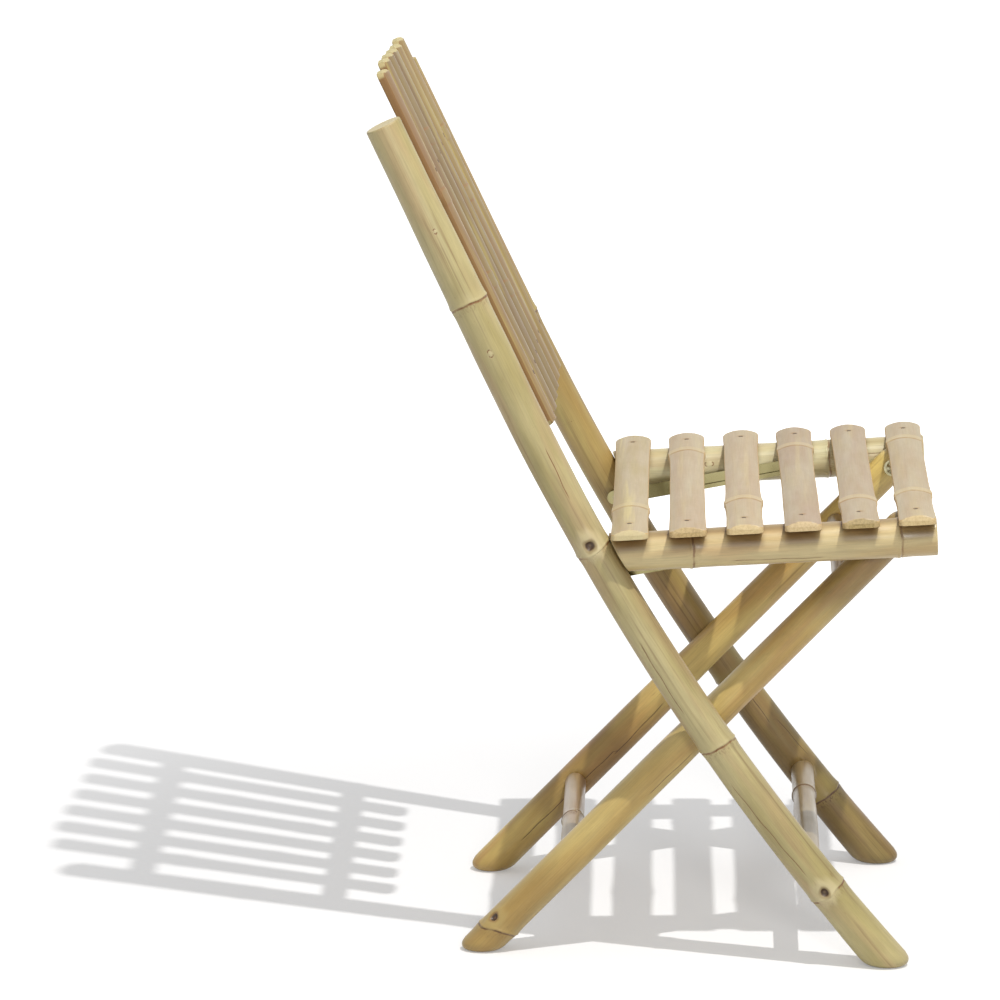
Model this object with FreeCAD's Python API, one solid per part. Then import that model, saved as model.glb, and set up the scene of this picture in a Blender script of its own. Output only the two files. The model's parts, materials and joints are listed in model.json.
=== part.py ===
import FreeCAD, Part
import math
import os

# Folding side chair made of bamboo poles and split bamboo slats.
# Two long bent posts carry the back and stand on the floor at the front.
# Two short straight legs cross them, stand at the rear and carry the seat.
# Millimetres. +X is the way the sitter faces, +Y the sitter's left, +Z up.

V = FreeCAD.Vector

# Long posts: a bent lower part, then a straight upper part
post_length = 1008.0
post_foot_lean = 40.9          # degrees from upright, leaning back
post_top_lean = 25.4
post_bend_radius = 2600.0
post_foot_radius = 20.4
post_top_radius = 18.4
post_taper_length = 420.0      # the foot end narrows over this length
post_spacing = 384.0           # centre to centre, across the chair
post_foot_edge = 5.0           # rounding of the sawn foot
right_post_nodes = (102.0, 290.0, 530.0, 809.5)   # along the post, from its foot
left_post_nodes = (97.0, 262.0, 466.0, 712.0)

# Short crossing legs
leg_radius = 17.0
leg_lean = 43.8                # degrees from upright, leaning forwards
leg_upper_length = 278.8       # from the crossing pivot to the seat pivot
leg_end_rounding = 12.5
leg_end_clearance = 2.2        # of its rounded upper end, below the seat slats
leg_foot_edge = 5.0            # rounding of the sawn foot
right_leg_nodes = (30.0, 316.0)            # along the leg, from its foot
left_leg_nodes = (292.0, 571.0)

# Crossing pivot
crossing_along_post = 309.0
pivot_pin_radius = 4.0
pivot_pin_depth = 22.0         # into the post and into the leg
running_clearance = 0.06       # radial, of a pin that turns in its bore

# Seat rails
rail_radius = 19.75
rail_slope = 3.4               # degrees, rising to the front
rail_front_overhang = 35.0     # in front of the seat pivot
right_rail_nodes = (37.0, 246.0)           # along the rail, from its front end
left_rail_nodes = (101.0, 228.0)

# Seat slats
seat_slat_count = 6
seat_slat_overhang = 33.0      # past each rail's centre line
seat_slat_width = 37.5
seat_slat_thickness = 10.3
seat_slat_edge = 5.2           # thickness at its sides
front_slat_setback = 20.5      # its middle, behind the rail's front end
rear_slat_setback = 22.0       # its middle, before the rail's sloping rear end
seat_slat_nodes = (0.12, 0.82, 0.22, 0.88, 0.27, 0.16)   # share of the length, from the right
slat_let_in = 0.7              # into the pole that carries it

# Back slats and the two rails that carry them
back_slat_count = 6
back_slat_pitch = 52.0
back_slat_length = 400.0
back_slat_width = 31.0
back_slat_thickness = 12.0
back_slat_edge = 7.4           # thickness at its sides
back_slat_above_post = 45.0
back_slat_nodes = (0.36, 0.62, 0.24, 0.7, 0.45, 0.3)     # share of the length, from the top
back_slat_top_drops = (3.0, 0.0, 3.0, 7.0, 10.5, 11.5)   # of each top end, below the tallest slat's
back_rail_radius = 11.0
upper_back_rail_drop = 72.0    # below the post's top end, along the post
lower_rail_above_slat_ends = 55.0   # along the back slats

# Stretchers
foot_stretcher_radius = 12.2
foot_stretcher_along_post = 134.0
rear_stretcher_radius = 11.3
rear_stretcher_along_leg = 139.0
upper_stretcher_radius = 10.0
upper_stretcher_below_seat_pivot = 84.0
foot_stretcher_node = 262.0    # from its right-hand end
rear_stretcher_node = 125.0
socket_depth = 12.0            # of every stretcher and back rail in its pole

# Folding links
link_width = 15.0
link_thickness = 1.5
link_hem_height = 4.5          # doubled lower edge, which stiffens the strip
link_hem_depth = 2.4           # it stands out past the strip
link_hem_length = 100.0
link_hem_setback = 9.0         # behind the pivot on the rail
link_along_post = 187.0        # link pivot, above the crossing pivot
link_behind_seat_pivot = 99.0
link_screw_radius = 2.5
link_head_radius = 4.6
link_head_height = 2.0
dome_rim_share = 0.3           # height of a domed head's straight rim over its whole height
link_screw_depth = 16.0        # into the rail, and into the post
link_post_gap = 0.3            # between the post's screw and the link

# Seat pivot screws, washers and spacer rings
seat_screw_radius = 3.5
seat_screw_depth = 22.0        # into the rail
seat_head_radius = 6.5
seat_head_height = 4.2
hex_socket_size = 4.5          # across corners
hex_socket_depth = 2.4
washer_radius = 9.0
washer_thickness = 1.5
spot_face_depth = 0.5          # flats cut on round poles under rings
spot_face_margin = 1.0
side_gap = 0.1                 # between a ring and what turns against it

# Nails
nail_radius = 1.1
nail_head_radius = 2.2
nail_head_height = 0.8
seat_nail_length = 24.0
back_nail_length = 22.0
nail_sink = 0.4                # of a head's top below the slat's crown

# Forms of bamboo
pole_edge = 2.0                # rounding of a sawn end
bar_edge = 0.5                 # rounding of a cross piece's end
node_rise = 1.3                # of a node's ring above the pole
node_reach = 8.0               # of the ring, each way along the pole
node_lap = 0.4                 # of a ring's thin rims under a bent pole's surface
node_root = 4.0                # of the ring's inner side under that surface
node_clearance = 0.3           # past a ring's height, for what moves or ends beside a pole
slat_node_rise = 0.7
slat_waist = 0.6               # narrowing between nodes, each side
slat_corner = 6.0              # rounding of its corners in plan
slat_upright_end = 3.0         # height of the end's upright part, below its bevel
slat_bevel_run = 4.0           # of the bevel, along the slat

os.makedirs("parts", exist_ok=True)

LEFT = V(0, 1, 0)
UP = V(0, 0, 1)


def leaning(angle):
    """Unit direction in the side view that leans forwards from upright by angle."""
    return V(math.sin(math.radians(angle)), 0, math.cos(math.radians(angle)))


def post_axis(along, y=0.0):
    """Point and upward direction of a post's axis at a distance from its foot.

    The lower part is an arc, along which the lean eases from the foot's to
    the top's. Past the arc's end the axis runs straight on.
    """
    foot = math.radians(post_foot_lean)
    top = math.radians(post_top_lean)
    on_arc = min(along, post_bend_radius * (foot - top))
    lean = foot - on_arc / post_bend_radius
    x = -post_bend_radius * (math.cos(lean) - math.cos(foot))
    z = post_bend_radius * (math.sin(foot) - math.sin(lean))
    direction = V(-math.sin(lean), 0, math.cos(lean))
    return V(x, y, z) + direction * (along - on_arc), direction


def along_post_at(height):
    """Distance along a post's axis, from its foot, at which the axis is this high."""
    foot = math.radians(post_foot_lean)
    top = math.radians(post_top_lean)
    arc_height = post_bend_radius * (math.sin(foot) - math.sin(top))
    on_arc = min(height, arc_height)
    lean = math.asin(math.sin(foot) - on_arc / post_bend_radius)
    return post_bend_radius * (foot - lean) + (height - on_arc) / math.cos(top)


def post_radius(along):
    """Post radius, which eases from the thicker foot to the even upper part."""
    share = max(0.0, 1 - along / post_taper_length)
    return post_top_radius + (post_foot_radius - post_top_radius) * share ** 2


def at_y(point, y):
    return V(point.x, y, point.z)


def across(point, from_y, to_y, radius, side):
    """Round bar along Y between two distances from the chair's middle."""
    return Part.makeCylinder(radius, to_y - from_y, at_y(point, side * from_y), LEFT * side)


def placed(shape, start, direction):
    """Shape made along +Z at the origin, moved to start and turned along direction."""
    moved = shape.copy()
    moved.Placement = FreeCAD.Placement(start, FreeCAD.Rotation(UP, direction))
    return moved


def laid(shape, start, lengthwise, upwards):
    """Shape made along +X with +Z up, moved to start and laid along lengthwise."""
    moved = shape.copy()
    turn = FreeCAD.Rotation(lengthwise, upwards.cross(lengthwise), upwards, "XZY")
    moved.Placement = FreeCAD.Placement(start, turn)
    return moved


def outline(start, steps):
    """Closed wire from a start through ("line", point) and ("arc", middle, point) steps."""
    edges = []
    pen = start
    for step in steps:
        end = step[-1]
        if step[0] == "line":
            edges.append(Part.makeLine(pen, end))
        else:
            edges.append(Part.Arc(pen, step[1], end).toShape())
        pen = end
    edges.append(Part.makeLine(pen, start))
    return Part.Wire(edges)


def corner_arc(r, z, size, low):
    """Quarter-round step at a pole's low or high rim, in the turning profile."""
    bow = size * (1 - math.sqrt(0.5))
    if low:
        return "arc", V(r - bow, 0, z + bow), V(r, 0, z + size)
    return "arc", V(r - bow, 0, z - bow), V(r - size, 0, z)


def bamboo_pole(length, radius, nodes, low_edge, high_edge):
    """Straight pole turned from a profile that swells in an arc at each node."""
    steps = [("line", V(radius - low_edge, 0, 0)), corner_arc(radius, 0, low_edge, True)]
    for z in nodes:
        steps.append(("line", V(radius, 0, z - node_reach)))
        steps.append(("arc", V(radius + node_rise, 0, z), V(radius, 0, z + node_reach)))
    steps.append(("line", V(radius, 0, length - high_edge)))
    steps.append(corner_arc(radius, length, high_edge, False))
    steps.append(("line", V(0, 0, length)))
    face = Part.Face(outline(V(0, 0, 0), steps))
    return face.revolve(V(0, 0, 0), UP, 360)


def node_ring(radius):
    """Raised ring of a node round a bent pole, a lens in section."""
    inside = radius - node_lap
    core = radius - node_root
    steps = [("arc", V(radius + node_rise, 0, 0), V(inside, 0, node_reach)),
             ("line", V(core, 0, node_reach)),
             ("line", V(core, 0, -node_reach))]
    face = Part.Face(outline(V(inside, 0, -node_reach), steps))
    return face.revolve(V(0, 0, 0), UP, 360)


def cut_at_floor(pole, edge_rounding):
    """Pole sawn off level with the floor, with the sharp rim of its foot eased."""
    reach = 3 * post_length
    below = Part.makeBox(reach, reach, reach, V(-reach / 2, -reach / 2, -reach))
    stood = pole.cut(below)
    rim = [edge for edge in stood.Edges if edge.BoundBox.ZMax < 0.01]
    return stood.makeFillet(edge_rounding, rim)


def split_slat(length, width, thickness, edge, nodes):
    """Split bamboo slat along +X, lying on z = 0 with its crown up.

    Sections with a flat back, upright edges and an arched face are joined in
    straight runs. They widen at each node and draw in between the nodes. The
    corners are round in plan, and each end is bevelled from the face down.
    """
    stations = [(0.0, 0.0)]
    before = 0.0
    for node in nodes:
        stations.append(((before + node) / 2, -slat_waist))
        stations.append((node - node_reach, 0.0))
        stations.append((node, slat_node_rise))
        stations.append((node + node_reach, 0.0))
        before = node
    stations.append(((before + length) / 2, -slat_waist))
    stations.append((length, 0.0))
    sections = []
    for x, swell in stations:
        half = width / 2 + swell
        steps = [("line", V(x, half, 0)), ("line", V(x, half, edge)),
                 ("arc", V(x, 0, thickness + max(swell, 0.0)), V(x, -half, edge))]
        sections.append(outline(V(x, -half, 0), steps))
    slat = Part.makeLoft(sections, True, True)
    half = width / 2 + slat_node_rise
    plan = Part.makeBox(length, 2 * half, 2 * thickness, V(0, -half, -thickness / 2))
    upright = [side for side in plan.Edges if side.BoundBox.ZLength > thickness]
    slat = slat.common(plan.makeFillet(slat_corner, upright))
    slant = slat_bevel_run / (thickness - slat_upright_end)
    low = V(-slant * slat_upright_end, -width, 0)
    high = V(slant * (2 * thickness - slat_upright_end), -width, 2 * thickness)
    wedge = Part.Face(Part.makePolygon([low, V(low.x, -width, high.z), high, low]))
    low_bevel = wedge.extrude(LEFT * 2 * width)
    high_bevel = low_bevel.mirror(V(length / 2, 0, 0), V(1, 0, 0))
    return slat.cut(low_bevel).cut(high_bevel)


def nail(point, direction, length):
    """Nail with a flat head, its head's top at the point."""
    shank = Part.makeCylinder(nail_radius, length, point, direction)
    return shank.fuse(Part.makeCylinder(nail_head_radius, nail_head_height, point, direction))


# Pivots in the side view
crossing = post_axis(crossing_along_post)[0]
leg_up = leaning(leg_lean)
seat_pivot = crossing + leg_up * leg_upper_length
rail_forward = V(math.cos(math.radians(rail_slope)), 0, math.sin(math.radians(rail_slope)))
rail_up = V(-rail_forward.z, 0, rail_forward.x)
rail_front = seat_pivot + rail_forward * rail_front_overhang
link_on_rail = seat_pivot - rail_forward * link_behind_seat_pivot
link_on_post = post_axis(crossing_along_post + link_along_post)[0]
leg_lower_length = crossing.z / leg_up.z
leg_foot = crossing - leg_up * leg_lower_length

# The leg's rounded upper end stops just under the slats
slat_back = rail_radius - slat_let_in
to_slats = slat_back - leg_end_clearance - leg_end_rounding
leg_tilt = math.radians(leg_lean + rail_slope)
leg_end_past_pivot = leg_end_rounding
leg_end_past_pivot += (to_slats - (leg_radius - leg_end_rounding) * math.sin(leg_tilt)) / math.cos(leg_tilt)

# The rail's rear end slopes like the post behind it, and the slats share out the rail's top
rear_height = seat_pivot.z - (seat_pivot.x - link_on_post.x) * rail_forward.z / rail_forward.x
meeting = along_post_at(rear_height)
rail_stop, stop_up = post_axis(meeting)
stop_forward = V(stop_up.z, 0, -stop_up.x)
rail_stop = rail_stop + stop_forward * (post_radius(meeting) + node_rise + node_clearance)
rail_top_length = (rail_front + rail_up * rail_radius - rail_stop).dot(stop_forward)
rail_top_length = rail_top_length / rail_forward.dot(stop_forward)
seat_slat_pitch = (rail_top_length - front_slat_setback - rear_slat_setback) / (seat_slat_count - 1)
seat_slat_length = post_spacing + 2 * seat_slat_overhang

# Distances from the chair's middle plane
post_y = post_spacing / 2
post_inner = post_y - post_radius(crossing_along_post)
post_inner_at_link = post_y - post_radius(crossing_along_post + link_along_post)
rail_inner = post_y - rail_radius
beside_pole = node_rise + node_clearance
link_outer = rail_inner - beside_pole
link_inner = link_outer - link_thickness
hem_inner = link_inner - link_hem_depth
leg_outer = hem_inner - beside_pole
leg_y = leg_outer - leg_radius
leg_inner = leg_y - leg_radius
spot_radius = washer_radius + spot_face_margin

# Places of the cross pieces
foot_stretcher_at = post_axis(foot_stretcher_along_post)[0]
rear_stretcher_at = leg_foot + leg_up * rear_stretcher_along_leg
upper_stretcher_at = seat_pivot - leg_up * upper_stretcher_below_seat_pivot
upper_rail_at, back_up = post_axis(post_length - upper_back_rail_drop)
lower_rail_drop = back_slat_length - back_slat_above_post - lower_rail_above_slat_ends
lower_rail_at = post_axis(post_length - lower_rail_drop)[0]
back_forward = V(back_up.z, 0, -back_up.x)
foot_stretcher_inner = post_y - post_radius(foot_stretcher_along_post)
back_rail_inner = post_y - post_top_radius

parts = {}
sides = (("right", -1, right_post_nodes, right_leg_nodes, right_rail_nodes),
         ("left", 1, left_post_nodes, left_leg_nodes, left_rail_nodes))


def cross_bar(point, inner, radius, nodes):
    """Round bar across the chair whose ends sit in blind sockets past inner."""
    half = inner + socket_depth
    bar = bamboo_pole(2 * half, radius, nodes, bar_edge, bar_edge)
    return placed(bar, at_y(point, -half), LEFT)


def socket(point, inner, radius, side):
    return across(point, inner - radius, inner + socket_depth, radius, side)


# Long posts, with sockets for the cross pieces and bores for the pins and screws
def bent_pole(side):
    """Post body lofted through rings square to its axis."""
    steps = 10
    first = -3 * post_foot_radius
    rings = []
    for step in range(steps + 1):
        along = first + (post_length - first) * step / steps
        centre, direction = post_axis(along, side * post_y)
        rings.append(Part.Wire(Part.makeCircle(post_radius(along), centre, direction)))
    return Part.makeLoft(rings, True, False)


def make_post(side, nodes):
    post = cut_at_floor(bent_pole(side), post_foot_edge)
    top = max(post.Faces, key=lambda face: face.CenterOfMass.z / face.Area)
    post = post.makeFillet(pole_edge, top.Edges)
    for along in nodes:
        centre, direction = post_axis(along, side * post_y)
        post = post.fuse(placed(node_ring(post_radius(along)), centre, direction))
    holes = [across(crossing, post_inner - 1, post_inner + pivot_pin_depth, pivot_pin_radius, side),
             across(crossing, leg_y, post_inner + spot_face_depth, spot_radius, side),
             across(link_on_post, leg_y, post_inner_at_link + link_screw_depth, link_screw_radius, side),
             socket(foot_stretcher_at, foot_stretcher_inner, foot_stretcher_radius, side),
             socket(upper_rail_at, back_rail_inner, back_rail_radius, side),
             socket(lower_rail_at, back_rail_inner, back_rail_radius, side)]
    return post.cut(holes)


# Short legs, which turn on the crossing pins and carry the seat pivots
def make_leg(side, nodes):
    below = 3 * leg_radius
    length = below + leg_lower_length + leg_upper_length + leg_end_past_pivot
    rings = [below + along for along in nodes]
    pole = bamboo_pole(length, leg_radius, rings, pole_edge, leg_end_rounding)
    stood = placed(pole, at_y(leg_foot - leg_up * below, side * leg_y), leg_up)
    leg = cut_at_floor(stood, leg_foot_edge)
    pin_bore = pivot_pin_radius + running_clearance
    screw_bore = seat_screw_radius + running_clearance
    holes = [across(crossing, leg_outer - pivot_pin_depth, leg_outer + 1, pin_bore, side),
             across(crossing, leg_outer - spot_face_depth, post_y, spot_radius, side),
             across(seat_pivot, leg_inner - 1, leg_outer + 1, screw_bore, side),
             across(seat_pivot, leg_outer - spot_face_depth, post_y, spot_radius, side),
             across(seat_pivot, leg_inner - leg_radius, leg_inner + spot_face_depth, spot_radius, side),
             socket(rear_stretcher_at, leg_inner, rear_stretcher_radius, side),
             socket(upper_stretcher_at, leg_inner, upper_stretcher_radius, side)]
    return leg.cut(holes)


# Seat rails: the front end is sawn square, the rear end slopes like the post
def make_rail(side, nodes):
    length = 2 * seat_slat_count * seat_slat_pitch
    pole = bamboo_pole(length, rail_radius, nodes, pole_edge, pole_edge)
    rail = placed(pole, at_y(rail_front, side * post_y), rail_forward * -1)
    behind = Part.makeBox(length, 4 * rail_radius, length, V(-length, -2 * rail_radius, -length / 2))
    behind = laid(behind, at_y(rail_stop, side * post_y), stop_forward, stop_up)
    rail = rail.cut(behind)
    holes = [across(seat_pivot, leg_y, rail_inner + seat_screw_depth, seat_screw_radius, side),
             across(seat_pivot, leg_y, rail_inner + spot_face_depth, spot_radius, side),
             across(link_on_rail, leg_y, rail_inner + link_screw_depth, link_screw_radius, side)]
    return rail.cut(holes)


for name, side, post_nodes, leg_nodes, rail_nodes in sides:
    parts["post_" + name] = make_post(side, post_nodes)
    parts["leg_" + name] = make_leg(side, leg_nodes)
    parts["seat_rail_" + name] = make_rail(side, rail_nodes)

# Cross pieces
parts["foot_stretcher"] = cross_bar(foot_stretcher_at, foot_stretcher_inner, foot_stretcher_radius,
                                    [foot_stretcher_node])
parts["rear_stretcher"] = cross_bar(rear_stretcher_at, leg_inner, rear_stretcher_radius,
                                    [rear_stretcher_node])
parts["upper_stretcher"] = cross_bar(upper_stretcher_at, leg_inner, upper_stretcher_radius, [])
parts["back_rail_upper"] = cross_bar(upper_rail_at, back_rail_inner, back_rail_radius, [])
parts["back_rail_lower"] = cross_bar(lower_rail_at, back_rail_inner, back_rail_radius, [])

# Seat slats, let into the tops of the rails and nailed to them
seat_nails = []
for number in range(1, seat_slat_count + 1):
    node = seat_slat_length * seat_slat_nodes[(number - 1) % len(seat_slat_nodes)]
    slat = split_slat(seat_slat_length, seat_slat_width, seat_slat_thickness, seat_slat_edge, [node])
    behind_front = front_slat_setback + seat_slat_pitch * (seat_slat_count - number)
    middle = rail_front - rail_forward * behind_front + rail_up * slat_back
    slat = laid(slat, at_y(middle, -seat_slat_length / 2), LEFT, rail_up)
    drive = rail_up * -1
    for side in (-1, 1):
        head = at_y(middle + rail_up * (seat_slat_thickness - nail_sink), side * post_y)
        seat_nails.append(nail(head, drive, seat_nail_length))
    slat = slat.cut(seat_nails[-2:])
    parts["seat_slat_" + str(number)] = slat
    for name in ("right", "left"):
        parts["seat_rail_" + name] = parts["seat_rail_" + name].cut(slat)
for name in ("right", "left"):
    parts["seat_rail_" + name] = parts["seat_rail_" + name].cut(seat_nails)
parts["seat_slat_nails"] = Part.makeCompound(seat_nails)

# Back slats, let into the fronts of the two back rails and nailed to them
back_nails = []
back_top, back_up = post_axis(post_length + back_slat_above_post)
back_face = back_rail_radius - slat_let_in
for number in range(1, back_slat_count + 1):
    drop = back_slat_top_drops[(number - 1) % len(back_slat_top_drops)]
    node = back_slat_length * back_slat_nodes[(number - 1) % len(back_slat_nodes)] - drop
    slat = split_slat(back_slat_length - drop, back_slat_width, back_slat_thickness, back_slat_edge, [node])
    y = back_slat_pitch * (number - (back_slat_count + 1) / 2)
    top = at_y(back_top - back_up * drop + back_forward * back_face, y)
    slat = laid(slat, top, back_up * -1, back_forward)
    for rail_at in (upper_rail_at, lower_rail_at):
        head = at_y(rail_at + back_forward * (back_face + back_slat_thickness - nail_sink), y)
        back_nails.append(nail(head, back_forward * -1, back_nail_length))
    slat = slat.cut(back_nails[-2:])
    parts["back_slat_" + str(number)] = slat
    for name in ("upper", "lower"):
        parts["back_rail_" + name] = parts["back_rail_" + name].cut(slat)
for name in ("upper", "lower"):
    parts["back_rail_" + name] = parts["back_rail_" + name].cut(back_nails)
parts["back_slat_nails"] = Part.makeCompound(back_nails)


# Folding links: steel strips with round ends and a doubled edge, between a rail's side and a leg
def flat_piece(corners, from_y, to_y, side):
    """Flat piece with these corners in the side view, between two distances from the middle."""
    corners = [at_y(corner, side * from_y) for corner in corners]
    return Part.Face(Part.makePolygon(corners + corners[:1])).extrude(LEFT * side * (to_y - from_y))


def make_link(side):
    half = link_width / 2
    bore = link_screw_radius + running_clearance
    along = (link_on_rail - link_on_post).normalize()
    square = V(-along.z, 0, along.x)
    low_end = link_on_rail - square * half
    high_end = link_on_rail + square * half
    low_start = link_on_post - square * half
    high_start = link_on_post + square * half
    strip = flat_piece([low_start, low_end, high_end, high_start], link_inner, link_outer, side)
    for pivot in (link_on_post, link_on_rail):
        strip = strip.fuse(across(pivot, link_inner, link_outer, half, side))
    hem_end = low_end - along * link_hem_setback
    hem_start = hem_end - along * link_hem_length
    hem_up = square * link_hem_height
    hem = flat_piece([hem_start, hem_end, hem_end + hem_up, hem_start + hem_up], hem_inner, link_inner, side)
    strip = strip.fuse(hem).removeSplitter()
    strip = strip.cut(across(link_on_rail, leg_y, post_y, bore, side))
    return strip.cut(across(link_on_post, leg_y, post_y, link_screw_radius, side))


def ring(point, from_y, to_y, radius, bore, side):
    """Washer or spacer ring round a pivot, between two distances from the middle."""
    return across(point, from_y, to_y, radius, side).cut(across(point, from_y - 1, to_y + 1, bore, side))


def domed_head(point, flat_y, height, radius, side):
    """Round screw head, domed towards the chair's middle, with its flat side at flat_y."""
    rim = dome_rim_share * height
    rise = height - rim
    dome_radius = (radius ** 2 + rise ** 2) / (2 * rise)
    half_way = math.asin(radius / dome_radius) / 2
    middle = V(dome_radius * math.sin(half_way), 0, height - dome_radius * (1 - math.cos(half_way)))
    steps = [("line", V(radius, 0, 0)), ("line", V(radius, 0, rim)), ("arc", middle, V(0, 0, height))]
    head = Part.Face(outline(V(0, 0, 0), steps)).revolve(V(0, 0, 0), UP, 360)
    return placed(head, at_y(point, side * flat_y), LEFT * -side)


pins = []
spacers = []
seat_screws = []
seat_washers = []
link_screws = []
link_rivets = []
post_screws = []
for name, side, post_nodes, leg_nodes, rail_nodes in sides:
    parts["link_" + name] = make_link(side)
    pins.append(across(crossing, leg_outer - pivot_pin_depth + 1, post_inner + pivot_pin_depth,
                       pivot_pin_radius, side))
    spacers.append(ring(crossing, leg_outer - spot_face_depth + side_gap, post_inner + spot_face_depth,
                        washer_radius, pivot_pin_radius, side))
    washer_y = leg_inner + spot_face_depth - side_gap - washer_thickness
    seat_washers.append(ring(seat_pivot, washer_y, washer_y + washer_thickness, washer_radius,
                             seat_screw_radius, side))
    seat_washers.append(ring(seat_pivot, leg_outer - spot_face_depth + side_gap,
                             rail_inner + spot_face_depth, washer_radius, seat_screw_radius, side))
    screw = across(seat_pivot, washer_y, rail_inner + seat_screw_depth, seat_screw_radius, side)
    screw = screw.fuse(domed_head(seat_pivot, washer_y, seat_head_height, seat_head_radius, side))
    head_top = washer_y - seat_head_height
    hexagon = [seat_pivot + leaning(60 * corner) * (hex_socket_size / 2) for corner in range(6)]
    key = flat_piece(hexagon, head_top, head_top + hex_socket_depth, side)
    seat_screws.append(screw.cut(key))
    head_y = link_inner - side_gap
    screw = across(link_on_rail, head_y, rail_inner + link_screw_depth, link_screw_radius, side)
    link_screws.append(screw.fuse(domed_head(link_on_rail, head_y, link_head_height, link_head_radius, side)))
    link_rivets.append(across(link_on_post, link_inner, link_outer, link_screw_radius, side))
    post_screws.append(across(link_on_post, link_outer + link_post_gap,
                              post_inner_at_link + link_screw_depth, link_screw_radius, side))

parts["crossing_pins"] = Part.makeCompound(pins)
parts["crossing_spacers"] = Part.makeCompound(spacers)
parts["seat_pivot_screws"] = Part.makeCompound(seat_screws)
parts["seat_pivot_washers"] = Part.makeCompound(seat_washers)
parts["link_screws"] = Part.makeCompound(link_screws)
parts["link_rivets"] = Part.makeCompound(link_rivets)
parts["link_post_screws"] = Part.makeCompound(post_screws)

# The origin is on the floor, under the middle of the whole chair
whole = Part.makeCompound(list(parts.values())).optimalBoundingBox(False, False)
to_origin = V(-whole.Center.x, 0, 0)
for node, shape in parts.items():
    shape.translate(to_origin)
    shape.exportStep("parts/" + node + ".step")

for label, point in (("crossing", crossing), ("seat pivot", seat_pivot), ("link on rail", link_on_rail),
                     ("link on post", link_on_post), ("leg foot", leg_foot)):
    moved = point + to_origin
    print(label, "x", round(moved.x, 3), "z", round(moved.z, 3))
print("slat pitch", round(seat_slat_pitch, 2), "leg end past pivot", round(leg_end_past_pivot, 2))
print("size", round(whole.XLength, 1), round(whole.YLength, 1), round(whole.ZLength, 1))
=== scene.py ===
import json
import math

import bpy
import numpy as np
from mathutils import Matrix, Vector


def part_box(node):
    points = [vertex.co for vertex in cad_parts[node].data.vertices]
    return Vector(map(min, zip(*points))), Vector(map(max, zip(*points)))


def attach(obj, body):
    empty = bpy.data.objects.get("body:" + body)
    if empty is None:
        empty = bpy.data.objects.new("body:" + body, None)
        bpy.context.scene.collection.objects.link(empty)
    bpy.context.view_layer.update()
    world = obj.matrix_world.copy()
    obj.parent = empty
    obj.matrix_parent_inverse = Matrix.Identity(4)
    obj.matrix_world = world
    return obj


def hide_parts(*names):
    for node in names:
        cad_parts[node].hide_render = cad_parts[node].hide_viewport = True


# A folding side chair of bamboo poles and split bamboo slats, seen from its
# right-hand side. +X is the way the sitter faces, +Y the sitter's left, +Z up.

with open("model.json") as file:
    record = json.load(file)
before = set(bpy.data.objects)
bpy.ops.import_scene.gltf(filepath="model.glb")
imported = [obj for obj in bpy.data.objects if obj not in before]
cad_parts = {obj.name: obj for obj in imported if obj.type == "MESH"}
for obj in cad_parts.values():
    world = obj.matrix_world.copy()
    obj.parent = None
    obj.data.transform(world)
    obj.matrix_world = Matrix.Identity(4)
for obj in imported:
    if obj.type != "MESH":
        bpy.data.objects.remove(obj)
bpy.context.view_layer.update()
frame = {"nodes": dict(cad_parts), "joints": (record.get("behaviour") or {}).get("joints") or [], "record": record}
mm = 0.001
degree = math.pi / 180


# The studio floor: one seamless sheet of matt white paper, rolled out well
# past the picture. It is pale by its own colour and by a glow that only the
# eye and mirrors see, and keeps the chair's shadow.
def put(tree, kind, inputs=(), **settings):
    """One shader node with its settings; inputs maps a socket to a value or to another node's socket."""
    made = tree.nodes.new("ShaderNode" + kind)
    for setting, value in settings.items():
        setattr(made, setting, value)
    for key, value in dict(inputs).items():
        if isinstance(value, bpy.types.NodeSocket):
            tree.links.new(value, made.inputs[key])
        else:
            made.inputs[key].default_value = value
    return made.outputs


def added(name, data):
    """A new object of some data, in the scene."""
    made = bpy.data.objects.new(name, data)
    bpy.context.scene.collection.objects.link(made)
    return made


def blank_material(name):
    """A material with an empty node tree and its output node."""
    made = bpy.data.materials.new(name)
    made.use_nodes = True
    made.node_tree.nodes.clear()
    return made, made.node_tree


def paint(red, green, blue):
    """Colour from its three display values, 0 to 255, as the linear values that shaders take."""
    shares = [value / 255 for value in (red, green, blue)]
    linear = [s / 12.92 if s <= 0.04045 else ((s + 0.055) / 1.055) ** 2.4 for s in shares]
    return (*linear, 1.0)


def maths(what, first, second=0.0):
    """Two shader values worked into one, as by MULTIPLY or MAXIMUM, in the first one's tree."""
    return put(first.id_data, "Math", {0: first, 1: second}, operation=what)[0]


def times(first, second):
    """Two shader values multiplied."""
    return maths("MULTIPLY", first, second)


def ranged(value, low, high, first, last, **how):
    """A shader value that runs from first to last as another runs from low to high."""
    return put(value.id_data, "MapRange", {0: value, 1: low, 2: high, 3: first, 4: last}, **how)[0]


def watching_rays(tree):
    """1 on the rays of the eye, of mirrors and of clear pieces, 0 on those that light the room."""
    seen = put(tree, "LightPath")
    mirrored = maths("MAXIMUM", seen["Is Camera Ray"], seen["Is Glossy Ray"])
    return maths("MAXIMUM", mirrored, seen["Is Transmission Ray"])


paper_reach = 60.0
paper_glow = 0.26              # of the paper's own white, for the eye and for mirrors
far_glow = 0.85                # the same well behind the chair, where the lamps reach less
glow_from, glow_to = 0.45, 2.0    # metres from the chair between which the one becomes the other

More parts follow.
